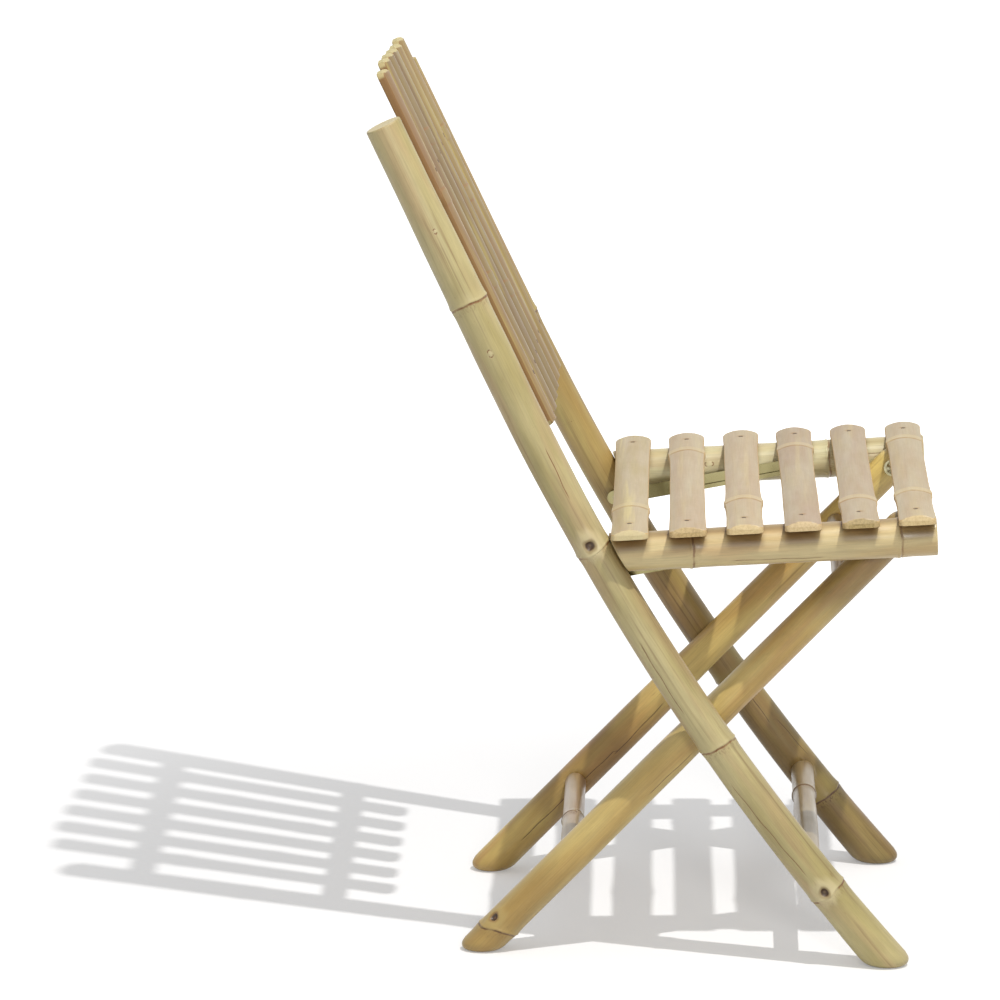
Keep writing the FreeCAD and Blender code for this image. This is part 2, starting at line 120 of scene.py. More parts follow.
paper, tree = blank_material("studio_paper")
away = put(tree, "VectorMath", {0: put(tree, "TexCoord")["Object"]}, operation="LENGTH")["Value"]
glow = ranged(away, glow_from, glow_to, paper_glow, far_glow, interpolation_type="SMOOTHSTEP")
glow = times(watching_rays(tree), glow)
matt = put(tree, "BsdfDiffuse", {"Color": paint(220, 220, 221)})[0]
white = put(tree, "Emission", {"Color": (1, 1, 1, 1), "Strength": glow})[0]
both = put(tree, "AddShader", {0: matt, 1: white})[0]
put(tree, "OutputMaterial", {"Surface": both})

mesh = bpy.data.meshes.new("studio_floor")
corners = [(x * paper_reach, y * paper_reach, 0) for x, y in ((-1, -1), (1, -1), (1, 1), (-1, 1))]
mesh.from_pydata(corners, [], [(0, 1, 2, 3)])
floor = added("studio_floor", mesh)
floor.data.materials.append(paper)

# The room's own light: pale grey from everywhere and brighter from above,
# and white where a mirror or the eye looks past the paper.
wall_light = 0.15
ceiling_light = 0.66

world = bpy.data.worlds.new("studio_room")
world.use_nodes = True
world.node_tree.nodes.clear()
tree = world.node_tree
height = put(tree, "SeparateXYZ", {0: put(tree, "TexCoord")["Generated"]})["Z"]
strength = ranged(height, 0.0, 1.0, wall_light, ceiling_light)
strength = ranged(watching_rays(tree), 0.0, 1.0, strength, 1.0)
sky = put(tree, "Background", {"Color": (1, 1, 1, 1), "Strength": strength})[0]
put(tree, "OutputWorld", {"Surface": sky})
bpy.context.scene.world = world


# The camera: a long lens at the chair's right-hand side, looking down on the
# seat a little, as the photograph was taken.
camera_azimuth = 1.630 * degree
camera_elevation = 12.785 * degree
camera_distance = 6.7023
camera_target = Vector((-0.15884, 0.0, 0.4385))
camera_lens, camera_sensor = 233.8, 36.0

optics = bpy.data.cameras.new("camera")
optics.lens = camera_lens
optics.sensor_width = camera_sensor
camera = added("camera", optics)
level = math.cos(camera_elevation)
backwards = Vector((math.sin(camera_azimuth) * level, -math.cos(camera_azimuth) * level,
                    math.sin(camera_elevation)))
camera.location = camera_target + backwards * camera_distance
camera.rotation_euler = (-backwards).to_track_quat("-Z", "Y").to_euler()
bpy.context.scene.camera = camera
bpy.context.scene.view_settings.view_transform = "Standard"


# The lamps: a small key lamp high in front on the camera's side, which throws
# the shadow back and to the left, and a weaker, softer one low beside the camera.
chair_middle = Vector((-0.05, 0.0, 0.45))
lamp_white = (1.0, 0.985, 0.96)
lamps = {"key_lamp": ((0.90, -1.29, 3.76), 104.0, 0.055),    # place, watts, and metres across
         "front_lamp": ((0.8, -4.0, 1.75), 38.0, 0.7)}
for name, (place, power, width) in lamps.items():
    lamp = added(name, bpy.data.lights.new(name, "AREA"))
    lamp.data.energy, lamp.data.shape, lamp.data.size, lamp.data.color = power, "DISK", width, lamp_white
    lamp.location = place
    lamp.rotation_euler = (chair_middle - Vector(place)).to_track_quat("-Z", "Y").to_euler()


# The two long posts: whole bamboo canes, heat-bent below the seat, sawn level
# at the floor and square at the top, with the branch buds pared off.
post_length = 1008 * mm
post_foot_lean = 40.9 * degree
post_top_lean = 25.4 * degree
post_bend_radius = 2600 * mm
post_foot_radius = 20.4 * mm
post_top_radius = 18.4 * mm
post_taper = 420 * mm
post_foot_edge = 11 * mm
sawn_edge = 1.6 * mm

swell_reach = 6.5 * mm         # a node's swelling, the groove on its line and the lip above the groove
groove_deep, groove_wide = 0.42 * mm, 0.75 * mm
lip_high, lip_above, lip_wide = 0.35 * mm, 1.7 * mm, 1.3 * mm
uneven_girth = 0.16 * mm
hole_deep = 2.2 * mm           # of the ring sunk round a cross piece
mark_step, mark_reach = 0.55 * mm, 11 * mm    # how closely the mesh follows a node, and how far from it
step_fade = (12 * mm, 60 * mm)    # below a node, where its step in girth is lost again
eye_by_node = 20 * mm          # an eye nearer than this bends the node's line


def mount(name):
    """Place of one of the record's mounts."""
    return np.array([m["pos_m"] for m in frame["record"]["mounts"] if m["name"] == name][0])


def post_spine(foot):
    """Axis of a post: an arc along which the lean eases from the foot's to the top's, then a straight run."""
    def spine(along):
        on_arc = np.minimum(along, post_bend_radius * (post_foot_lean - post_top_lean))
        lean = post_foot_lean - on_arc / post_bend_radius
        course = np.stack([-np.sin(lean), 0 * lean, np.cos(lean)], -1)
        x = post_bend_radius * (math.cos(post_foot_lean) - np.cos(lean))
        z = post_bend_radius * (math.sin(post_foot_lean) - np.sin(lean))
        return foot + np.stack([x, 0 * x, z], -1) + course * (along - on_arc)[..., None], course
    return spine


def post_girth(along):
    """Radius of a post, which eases from the thick foot to the even upper part."""
    return post_top_radius + (post_foot_radius - post_top_radius) * np.clip(1 - along / post_taper, 0, 1) ** 2


def near_post_girth(along):
    """Radius of the right post: that of both, and a little more above its middle, as this cane grew."""
    fuller = eased(along, 560 * mm, 660 * mm) * (1 - eased(along, 860 * mm, 950 * mm))
    return post_girth(along) + 0.9 * mm * fuller


def stations(length, places, step, fine, reach):
    """Distances along a piece: one per step, and one per fine near each place.

    The density 1/step + sum of 1/fine over 1 + (distance/reach)^6 is summed up and read back evenly.
    """
    ruler = np.linspace(0, length, 4000)
    density = np.full_like(ruler, 1 / step)
    for place in places:
        density += 1 / fine / (1 + ((ruler - place) / reach) ** 6)
    count = np.concatenate([[0], np.cumsum((density[1:] + density[:-1]) / 2 * np.diff(ruler))])
    return np.interp(np.linspace(0, count[-1], int(count[-1]) + 1), count, ruler)


def eased(value, low, high):
    """Smooth step from 0 at low to 1 at high: 3t^2 - 2t^3."""
    share = np.clip((value - low) / (high - low), 0, 1)
    return share * share * (3 - 2 * share)


def bell(value, width):
    """Bell curve exp(-(value/width)^2)."""
    return np.exp(-(value / width) ** 2)


def slow_waves(draw, along, around, count=7):
    """Sum of slow waves cos(m*around + w*along + phase) with drawn phases, about -1 to 1."""
    total = 0
    for number in range(count):
        turns = draw.integers(0, 4)
        pace = draw.uniform(8, 42)
        total = total + np.cos(turns * around + pace * along + draw.uniform(0, 2 * np.pi))
    return total / count ** 0.5 / 1.4


def in_units(marks, units):
    """Rows of marks, written in mm and degrees, in the script's own units."""
    return [[value * unit for value, unit in zip(mark, units)] for mark in marks]


def turned_from(around, middle):
    """Angle round a cane from a middle, the short way: -pi to pi."""
    return np.angle(np.exp(1j * (around - middle)))


def drawn_in(deep, radius):
    """How far an edge rounded to a quarter circle stands back at a depth: r - sqrt(r^2 - (r - depth)^2)."""
    back = radius - np.sqrt(np.maximum(radius ** 2 - (radius - np.clip(deep, 0, radius)) ** 2, 0))
    return np.where(deep < radius, back, 0)


def capped(points, facts, shares, inside):
    """Grid with rings added inside both end rims, at shares of the rim's size about its middle.

    Each fact is carried on: by its own rule in inside, from its rim and the shares, or else unchanged.
    """
    grid = points
    for row in (0, -1):
        centre = points[row].mean(0)
        rings = centre + (points[row] - centre) * shares[:, None, None]
        grid = np.concatenate([grid, rings] if row else [rings[::-1], grid])
        for fact, values in facts.items():
            rim = values[row]
            more = np.broadcast_to(rim, (len(shares), *rim.shape))
            if fact in inside:
                more = inside[fact](rim, shares.reshape(-1, *[1] * rim.ndim))
            facts[fact] = np.concatenate([values, more] if row else [more[::-1], values])
    return grid


def dress(piece, name, grid, facts, finish, body):
    """A new skin in its finish, on its body and in place of the frame's plain piece."""
    made = skin(name, grid, facts)
    made.data.materials.append(finish)
    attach(made, body)
    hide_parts(piece)
    return made


def skin(name, grid, facts):
    """Closed mesh over a grid of points, rows along the piece and columns round it.

    Each face joins four neighbours, the columns close into loops, and a fan closes each end.
    The facts are arrays on the same grid, kept as attributes of the points.
    """
    rows, columns = grid.shape[:2]
    index = np.arange(rows * columns).reshape(rows, columns)
    after = np.roll(index, -1, 1)
    quads = np.stack([index[:-1], after[:-1], after[1:], index[1:]], -1).reshape(-1, 4)
    first, last = rows * columns, rows * columns + 1
    fans = np.concatenate([
        np.stack([np.full(columns, first), after[0], index[0]], -1),
        np.stack([np.full(columns, last), index[-1], after[-1]], -1)])
    points = np.concatenate([grid.reshape(-1, 3), [grid[0].mean(0), grid[-1].mean(0)]])
    mesh = bpy.data.meshes.new(name)
    mesh.from_pydata(points.tolist(), [], quads.tolist() + fans.tolist())
    for fact, values in facts.items():
        wide = values.ndim == 3
        values = np.broadcast_to(values, grid.shape if wide else grid.shape[:2])
        ends = np.stack([values[0].mean(0), values[-1].mean(0)])
        flat = np.concatenate([values.reshape(rows * columns, -1), ends.reshape(2, -1)])
        attribute = mesh.attributes.new(fact, "FLOAT_VECTOR" if wide else "FLOAT", "POINT")
        attribute.data.foreach_set("vector" if wide else "value", flat.astype(np.float32).ravel())
    mesh.polygons.foreach_set("use_smooth", np.ones(len(mesh.polygons), bool))
    mesh.update()
    return added(name, mesh)


def cane(piece, seed, spine, girth, length, nodes, finish, body, slot, side=(0, 1, 0), eyes=(), scars=(),
         splits=(), holes=(), hole_side=0.0, low_cut=None, high_cut=None, low_edge=sawn_edge,
         high_edge=sawn_edge, columns=92, step=4 * mm, offset=0.0, node_rise=1.0 * mm, node_step=0.35 * mm,
         shades=()):
    """A whole bamboo cane: circles carried along a spine, square to it.

    Radius = girth + slow unevenness + at each node a bell-shaped swelling, a thin groove and a lip above it,
    + at each eye a pit in a low mound, - a ring sunk round each hole. Ends are slid to their cutting planes,
    drawn in along a quarter circle, a wider one at the toe of a slanting cut, and closed with a flat face.
    A node is (along, tilt, facing): its line runs at along + tilt * cos(around - facing). An eye or a healed
    scar is (along, around, size), a split (from, to, around, drift), and a shade (along, reach, around,
    spread, depth) paints shade on the skin, darkening it by depth * exp(-distance^8), and paints light where
    the depth is negative. These marks are written in mm and degrees, but a spread in radians. A hole (along,
    radius) on the hole's side is worked out from sizes, so in metres.
    """
    nodes, splits = in_units(nodes, (mm, mm, degree)), in_units(splits, (mm, mm, degree, degree))
    eyes, scars = (in_units(marks, (mm, degree, mm)) for marks in (eyes, scars))
    shades = in_units(shades, (mm, mm, degree, 1, 1))
    draw = np.random.default_rng(seed)
    places = [mark[0] for mark in [*nodes, *eyes, *scars]]
    rows = stations(length, places, step, mark_step, mark_reach)
    for end in (0, length):
        rows = np.concatenate([rows, end + np.sign(length / 2 - end) * np.linspace(0, 1, 9) ** 1.6 * 7 * mm])
    rows = np.unique(np.round(rows, 5))
    along, around = np.meshgrid(rows, np.arange(columns) * 2 * np.pi / columns, indexing="ij")
    side = np.array(side, float)

    def place(along, out):
        """Points at a distance out from the spine, with the course there and the outward direction."""
        middle, course = spine(along)
        square = np.cross(course, side)
        outward = np.cos(around)[..., None] * side + np.sin(around)[..., None] * square
        return middle + outward * out[..., None], course, outward

    cuts = []
    for end, cut, edge in ((0.0, low_cut, low_edge), (length, high_cut, high_edge)):
        middle, course = spine(np.array(end))
        point, normal = cut if cut is not None else (middle, course if end else -course)
        point, normal = np.array(point, float), np.array(normal, float)
        slid = np.full_like(along, end)
        for turn in range(6):
            points, course, outward = place(slid, girth(slid))
            slid = slid - ((points - point) @ normal) / (course @ normal)
        cuts.append((point, normal, edge, slid - end))
    slide_reach = min(70 * mm, length / 3)
    rest = along
    along = rest + cuts[0][3] * np.clip(1 - rest / slide_reach, 0, 1) ** 3
    along = along + cuts[1][3] * np.clip(1 - (length - rest) / slide_reach, 0, 1) ** 3

    radius = girth(along) * (1 + 0.006 * np.cos(2 * around + draw.uniform(0, 6)))
    radius = radius + uneven_girth * slow_waves(draw, along, around)
    nearest_eye = np.full_like(along, 9.0)
    for eye_along, eye_around, size in eyes:
        turned = turned_from(around, eye_around)
        ragged = 1 + 0.10 * np.cos(3 * turned * 4 + eye_along * 900)
        apart = np.hypot((along - eye_along) / (1.15 * size), turned * radius / size) * ragged
        radius = radius - 0.55 * size * np.exp(-(apart / 0.72) ** 4) + 0.20 * size * bell(apart - 1.55, 1.0)
        radius = radius + 0.10 * size * bell(apart, 0.28)
        nearest_eye = np.minimum(nearest_eye, apart)
    far = np.ones_like(along)
    to_node = far
    for node_along, tilt, facing in nodes:
        line = node_along + tilt * np.cos(around - facing)
        line = line + 0.5 * mm * np.cos(3 * around + draw.uniform(0, 6))
        line = line + 0.25 * mm * np.cos(7 * around + draw.uniform(0, 6))
        for eye_along, eye_around, size in eyes:
            if abs(eye_along - node_along) < eye_by_node:
                turned = turned_from(around, eye_around)
                line = line - 0.9 * size * bell(turned * girth(along), 2.2 * size)
        apart = along - line
        radius = radius + node_rise * bell(apart, swell_reach) * 0.75
        radius = radius - groove_deep * bell(apart + 0.1 * mm, groove_wide)
        radius = radius + lip_high * bell(apart - lip_above, lip_wide)
        kept_step = 1 - eased(-apart, *step_fade)
        radius = radius - node_step * eased(-apart, -0.4 * mm, 1.2 * mm) * kept_step
        to_node = np.where(np.abs(apart) < np.abs(to_node), apart, to_node)
    for hole_along, hole_radius in holes:
        turned = turned_from(around, hole_side)
        aside = np.where(np.abs(turned) < 1.5, radius * np.sin(turned), 1.0)
        apart = np.hypot(along - hole_along, aside)
        radius = radius - hole_deep * (1 - eased(apart, hole_radius + 0.35 * mm, hole_radius + 1.5 * mm))
    split = np.stack([far, far, 0 * far], -1)
    for start, stop, split_around, drift in splits:
        path = split_around + drift * (along - start) / (stop - start)
        path = path + 0.02 * np.sin(along * 160 + start * 700)
        aside = turned_from(around, path) * radius
        past = np.maximum(np.maximum(start - along, along - stop), 0)
        nearer = np.abs(aside) + past < np.abs(split[..., 0]) + split[..., 1]
        split = np.where(nearer[..., None], np.stack([aside, past, 0 * past], -1), split)
    for scar_along, scar_around, size in scars:
        turned = turned_from(around, scar_around)
        apart = np.hypot((along - scar_along) / (1.5 * size), turned * radius / size)
        radius = radius + 0.10 * size * bell(apart, 0.8) - 0.08 * size * bell(apart - 1, 0.25)
        nearest_eye = np.minimum(nearest_eye, apart + 1.56)
        outline = (np.abs(apart - 1) * size)[..., None]
        split = np.where(outline < split[..., :1] + split[..., 1:2], outline * np.array([1, 0, 0]), split)

    # Painted shade and painted light, kept for the material: a shade with a positive depth darkens the skin, one
    # with a negative depth lightens it.
    shade = 0 * along
    for shade_along, reach, shade_around, width, depth in shades:
        turned = turned_from(around, shade_around)
        shade = shade + depth * np.exp(-((along - shade_along) / reach) ** 8 - (turned / width) ** 8)

    points, course, outward = place(along, radius)
    sawn = np.zeros_like(along)
    for point, normal, edge, slid in cuts:
        deep = -((points - point) @ normal)
        points = points + course * (np.minimum(deep, 0) / (course @ normal))[..., None]
        deep = np.maximum(deep, 0)
        edge = edge * (1 - 0.6 * (outward @ normal))
        inset = drawn_in(deep, edge)
        points = points - outward * inset[..., None]
        deeper = -((points - point) @ normal)
        points = points - course * ((deep - deeper) / (course @ normal))[..., None]
        sawn = np.maximum(sawn, np.clip(inset / edge, 0, 1) ** 2)
    flat = np.stack([np.cos(around) * radius, np.sin(around) * radius, along + offset], -1)
    facts = {"cane": flat, "to_node": to_node, "eye": nearest_eye, "split": split, "cut": sawn,
             "shade": shade}
    shares = np.array([0.97, 0.9, 0.78, 0.6, 0.4, 0.2])
    grid = capped(points, facts, shares, {
        "cane": lambda rim, share: rim * np.concatenate([share, share, 0 * share + 1], -1),
        "cut": lambda rim, share: 1 + (1 - share) + 0 * rim})
    return dress(piece, piece + "_cane", grid, facts, finish, body)


def spread(value, low, high):
    """Smooth step of a shader value, from 0 at low to 1 at high."""
    return ranged(value, low, high, 0.0, 1.0, interpolation_type="SMOOTHSTEP")


def mark(tree, name, kind="Fac"):
    """One of the facts that the mesh carries at its points."""
    return put(tree, "Attribute", attribute_name=name)[kind]


def surfaced(made, colour, dull, height, strength, depth, more):
    """The material ended with its shader: a colour, a roughness, and bumps drawn from a height."""
    tree = made.node_tree
    bumps = put(tree, "Bump", {"Strength": strength, "Distance": depth, "Height": height})[0]
    shader = put(tree, "BsdfPrincipled", {"Base Color": colour, "Roughness": dull, "Normal": bumps,
                                          **more})[0]
    put(tree, "OutputMaterial", {"Surface": shader})
    return made


def blend(share, first, second):
    """The second colour laid over the first by a share."""
    return put(share.id_data, "Mix", {0: share, 6: first, 7: second}, data_type="RGBA")[2]


def tinted(colour, value):
    """A colour made lighter or darker by a shader value, or by one for each of red, green and blue."""
    tree, parts = colour.id_data, value if isinstance(value, list) else [value] * 3
    tone = put(tree, "CombineColor", dict(enumerate(parts)))[0]
    return put(tree, "Mix", {0: 1.0, 6: colour, 7: tone}, data_type="RGBA", blend_type="MULTIPLY")[2]


def grain(where, across, lengthwise, seed, detail=2.0, rough=0.5):
    """Noise drawn out along a cane: cells per metre across it and along it."""
    tree = where.id_data
    scaled = put(tree, "Mapping", {"Vector": where, "Location": (seed, seed * 1.7, seed * 0.6),
                                   "Scale": (across, across, lengthwise)})[0]
    return put(tree, "TexNoise", {"Vector": scaled, "Scale": 1.0, "Detail": detail, "Roughness": rough})[0]


def bamboo(name, seed, pale, deep, blush, streak, line, end, blushing=0.5, streaking=0.5, mottling=0.35,
           gloss=0.40, coat=0.15, lining=1.0, pale_node=0.35, eye_ring=None, tone_scale=26):
    """Skin of a bamboo cane, drawn in the cane's own unrolled coordinates.

    A pale and a deep tone are mixed in long patches, with blushes, brown streaks, fine fibres and flecks over
    them. Close to a node come a thin dark line, a paler band above it and mottling below it. Eyes are brown
    pits in a cream patch, splits are thin dark lines, and sawn ends show pale wood with darker dots.
    """
    pale, deep, blush, streak, line, end, eye_ring = (
        paint(*tone) for tone in (pale, deep, blush, streak, line, end, eye_ring or pale))
    fibre, cloudy = (0.87, 1.09), (0.925, 1.065)    # the darkest and the lightest, of the tone itself
    pit_brown = paint(72, 50, 30)
    made, tree = blank_material(name)
    where = mark(tree, "cane", "Vector")
    to_node, eye, cut, shade = (mark(tree, fact) for fact in ("to_node", "eye", "cut", "shade"))
    split = put(tree, "SeparateXYZ", {0: mark(tree, "split", "Vector")})

    colour = blend(spread(grain(where, tone_scale, 5, seed, 3), 0.36, 0.66), pale, deep)
    flush = times(spread(grain(where, 48, 7, seed + 3), 0.46, 0.70), blushing)
    colour = blend(flush, colour, blush)
    lines = grain(where, 230, 4.5, seed + 7, 4, 0.6)
    patches = spread(grain(where, 34, 5, seed + 11), 0.40, 0.64)
    streaks = times(times(spread(lines, 0.50, 0.72), patches), streaking)
    colour = blend(streaks, colour, streak)
    threads = ranged(grain(where, 1300, 22, seed + 13, 2, 0.6), 0.25, 0.75, *fibre)
    clouds = ranged(grain(where, 120, 32, seed + 43, 4, 0.65), 0.3, 0.7, *cloudy)
    colour = tinted(colour, times(threads, clouds))
    flecks = spread(grain(where, 420, 95, seed + 17), 0.66, 0.76)
    near_node = times(spread(maths("ABSOLUTE", to_node), 34 * mm, 4 * mm), mottling)
    flecks = times(flecks, maths("ADD", near_node, 0.10))
    colour = blend(flecks, colour, line)

    waver = ranged(grain(where, 260, 260, seed + 19), 0.0, 1.0, -0.9 * mm, 0.9 * mm)
    apart = maths("ADD", to_node, waver)
    above = times(spread(apart, 0.2 * mm, 1.2 * mm), spread(apart, 17 * mm, 2.5 * mm))
    colour = blend(times(above, pale_node), colour, pale)
    below = times(spread(apart, -0.2 * mm, -1.5 * mm), spread(apart, -13 * mm, -3 * mm))
    crazed = spread(grain(where, 520, 260, seed + 23, 3, 0.7), 0.52, 0.60)
    colour = blend(times(times(below, crazed), mottling), colour, streak)
    uneven = ranged(grain(where, 130, 130, seed + 29), 0.3, 0.6, 0.45, 1.0)
    ring = spread(maths("ABSOLUTE", maths("ADD", apart, 0.3 * mm)), 1.7 * mm, 0.5 * mm)
    ring = times(times(ring, uneven), spread(eye, 1.7, 3.0))
    colour = blend(times(ring, lining), colour, line)

    colour = blend(times(spread(eye, 3.4, 1.5), 0.55), colour, eye_ring)
    colour = blend(times(spread(eye, 1.35, 0.9), 0.6), colour, streak)
    colour = blend(spread(eye, 0.9, 0.6), colour, pit_brown)
    colour = blend(times(spread(eye, 0.34, 0.18), 0.4), colour, streak)

    jitter = ranged(grain(where, 600, 90, seed + 31), 0.0, 1.0, -0.35 * mm, 0.35 * mm)
    cleft = spread(maths("ABSOLUTE", maths("ADD", split[0], jitter)), 0.62 * mm, 0.18 * mm)
    cleft = times(cleft, spread(split[1], 9 * mm, 0.0))
    colour = blend(times(cleft, 0.85), colour, line)

    # Painted shade and painted light along the cane, from its shade attribute, a little uneven and warmer where
    # darker.
    painted_shading = times(shade, ranged(grain(where, 60, 22, seed + 41), 0.3, 0.7, 0.85, 1.15))
    dusk = [ranged(painted_shading, -1.0, 1.0, 1 + part, 1 - part) for part in (0.9, 1.0, 1.1)]
    colour = tinted(colour, dusk)

    pores = put(tree, "TexVoronoi", {"Vector": where, "Scale": 900.0})["Distance"]
    dots = times(spread(pores, 0.34, 0.16), 0.45)
    wood = blend(dots, end, streak)
    colour = blend(spread(cut, 0.25, 0.95), colour, wood)

    height = times(threads, 0.35)
    for sunk, depth in ((streaks, 0.25), (cleft, 1.4), (flecks, 0.5)):
        height = maths("SUBTRACT", height, times(sunk, depth))
    dull = ranged(grain(where, 90, 20, seed + 37, 3), 0.3, 0.7, gloss - 0.06, gloss + 0.10)
    dull = maths("MAXIMUM", dull, times(spread(cut, 0.3, 1.0), 0.7))
    return surfaced(made, colour, dull, height, 0.55, 0.35 * mm,
                    {"Coat Weight": coat, "Coat Roughness": 0.28, "IOR": 1.5})


bark_brown = (104, 66, 28)
sawn_wood = (205, 188, 146)
floor_cut = ((0, 0, 0), (0, 0, -1))

near_post_skin = bamboo(    # its tones are pale, deep, blush, streak, thin line and sawn end
    "near_post_bamboo", 2.0, (184, 171, 124), (164, 150, 98), (177, 150, 110), (128, 102, 63),
    (120, 78, 37), (200, 187, 149), blushing=0.55, streaking=0.7, mottling=0.45, gloss=0.46, coat=0.08,
    pale_node=0.6, eye_ring=(206, 192, 151))
far_post_skin = bamboo(
    "far_post_bamboo", 5.0, (175, 156, 93), (153, 127, 71), (160, 125, 80), (107, 78, 38), (96, 62, 30),
    sawn_wood, streaking=0.8, mottling=0.85, gloss=0.42, coat=0.12, pale_node=0.5)
post_holes = [(134 * mm, 12.2 * mm), (708 * mm, 11 * mm), (936 * mm, 11 * mm)]    # stretcher, back rails
post_form = {"holes": post_holes, "low_cut": floor_cut, "low_edge": post_foot_edge}

right_foot, left_foot = mount("post_right_foot"), mount("post_left_foot")
# The right post's shades: painted shade on one side of its lower half, and painted light at the foot.
cane("post_right", 11, post_spine(right_foot), near_post_girth, post_length,
     [(102, 1.6, 150), (291, 2.6, 100), (530, 1.5, 200), (809.5, 1.2, 180)], near_post_skin, "posts",
     "post_bamboo", eyes=[(106.8, 176, 5.2), (537.3, 180, 5.8), (300.0, 350, 5.0), (817.0, 10, 4.2)],
     scars=[(757, 178, 2.6), (891.6, 188, 1.8)],
     splits=[(139, 247, 165, -17), (596, 640, 196, 6), (346, 420, 152, 5)],
     shades=[(250, 300, 250, 0.5, 0.10), (30, 50, 180, 4, -0.12)],
     **post_form)
# The left post's shades: painted shadow of the seat on its lower part, painted shade round the foot stretcher's
# hole, and painted light higher up.
cane("post_left", 23, post_spine(left_foot), post_girth, post_length,
     [(95.5, 0.8, 140), (262, 1.5, 30), (466, 1.2, 200), (712, 1.4, 80)], far_post_skin, "posts",
     "post_bamboo", eyes=[(103, 20, 4.6), (268, 20, 4.4), (472, 30, 4.6), (718, 200, 4.2)],
     splits=[(205, 232, 194, 2), (150, 190, 230, -8)],
     shades=[(40, 60, 180, 4, 0.44), (190, 70, 180, 4, 0.33), (310, 50, 180, 4, 0.15),
             (134, 14, 180, 1.2, 0.2), (560, 90, 180, 4, -0.14)],
     hole_side=180 * degree, offset=2.0, **post_form)


# The two legs: straight, slimmer canes that stand at the rear, cross inside
# the posts on a pin each, and carry the seat on their rounded tops.
leg_lean = 43.8 * degree
leg_radius = 17 * mm
leg_foot_edge = 10 * mm
leg_top_rounding = 12.5 * mm
seat_pivot = np.array([joint["pos_m"] for joint in frame["joints"] if joint["name"] == "seat_tip"][0])
leg_up = np.array([math.sin(leg_lean), 0, math.cos(leg_lean)])
leg_end_past_pivot = 14.04 * mm
frame_clearance = 0.1 * mm     # by which a cane stays within its frame piece
butt_fade = 90 * mm


def straight_spine(start, course):
    """Axis of a straight cane: start + along * course."""
    start, course = np.array(start, float), np.array(course, float)

    def spine(along):
        along = np.asarray(along, float)
        return start + along[..., None] * course, np.broadcast_to(course, (*along.shape, 3))
    return spine


def even_girth(radius, butt=0.0, reach=0.0):
    """Girth of a cane of one radius, a clearance less than its frame, and thicker by the butt up to reach."""
    return lambda along: radius - frame_clearance + butt * (1 - eased(along, reach, reach + butt_fade))


near_leg_skin = bamboo(
    "near_leg_bamboo", 9.0, (198, 176, 112), (183, 152, 85), (173, 132, 74), (141, 99, 48), (100, 63, 27),
    sawn_wood, blushing=0.6, streaking=0.4, mottling=0.25, gloss=0.38, coat=0.2, pale_node=0.3)
far_leg_skin = bamboo(
    "far_leg_bamboo", 14.0, (205, 181, 109), (176, 144, 78), (183, 139, 84), (120, 88, 42), (78, 51, 22),
    sawn_wood, streaking=0.75, mottling=0.4, gloss=0.42, coat=0.12, pale_node=0.3)

right_leg_foot, left_leg_foot = mount("leg_right_foot"), mount("leg_left_foot")
leg_length = float(np.linalg.norm((seat_pivot - right_leg_foot) * np.array([1, 0, 1]))) + leg_end_past_pivot
leg_sockets = [(139 * mm, 11.3 * mm), (leg_length - leg_end_past_pivot - 84 * mm, 10 * mm)]
# The right leg's shades: darker at the foot, a touch lighter in the middle, and a painted shadow of the seat rail
# at its top.
cane("leg_right", 31, straight_spine(right_leg_foot, leg_up), even_girth(leg_radius, 1.2 * mm, 300 * mm),
     leg_length, [(31, 8.5, 245), (339, 1.2, 60)], near_leg_skin, "legs", "leg_bamboo",
     eyes=[(39.9, 134, 4.8), (347, 330, 4.4)], splits=[(250, 300, 210, 6)],
     shades=[(20, 110, 180, 4, 0.24), (420, 90, 180, 4, -0.06), (610, 110, 180, 4, 0.46)],
     holes=leg_sockets, low_cut=floor_cut, low_edge=leg_foot_edge, high_edge=leg_top_rounding)
# The left leg's shades: painted light on its upper part and a painted shadow of the seat low down.
cane("leg_left", 43, straight_spine(left_leg_foot, leg_up), even_girth(leg_radius, 1.3 * mm, 260 * mm),
     leg_length, [(292, 1.4, 20), (571, 1.2, 120)], far_leg_skin, "legs", "leg_bamboo",
     eyes=[(299, 15, 4.6), (563, 200, 4.0)], splits=[(60, 190, 186, 8), (196, 262, 205, -6)],
     holes=leg_sockets, hole_side=180 * degree, low_cut=floor_cut, low_edge=leg_foot_edge + 2 * mm,
     high_edge=leg_top_rounding, offset=4.0, shades=[(520, 110, 180, 4, -0.16), (150, 60, 180, 4, 0.32)])


# The seat's two side rails: thick canes, varnished to a gloss. The front end
# is sawn square, the rear end slopes like the post that it closes against.
rail_slope = 3.4 * degree
rail_radius = 19.75 * mm
rail_front_overhang = 35 * mm
rail_to_post = 1.6 * mm
rail_forward = np.array([math.cos(rail_slope), 0, math.sin(rail_slope)])
rail_up = np.array([-rail_forward[2], 0, rail_forward[0]])
rail_front = seat_pivot + rail_forward * rail_front_overhang

post_ruler = np.linspace(0, post_length, 2000)
post_line, post_course = post_spine(np.array([right_foot[0], 0, 0]))(post_ruler)
meeting = int(np.argmin(np.abs((post_line - seat_pivot) @ rail_up)))
stop_up = post_course[meeting]
stop_forward = np.array([stop_up[2], 0, -stop_up[0]])
rail_stop = post_line[meeting] + stop_forward * (post_girth(post_ruler[meeting]) + rail_to_post)
rail_length = float((rail_front - rail_stop) @ stop_forward / (rail_forward @ stop_forward))

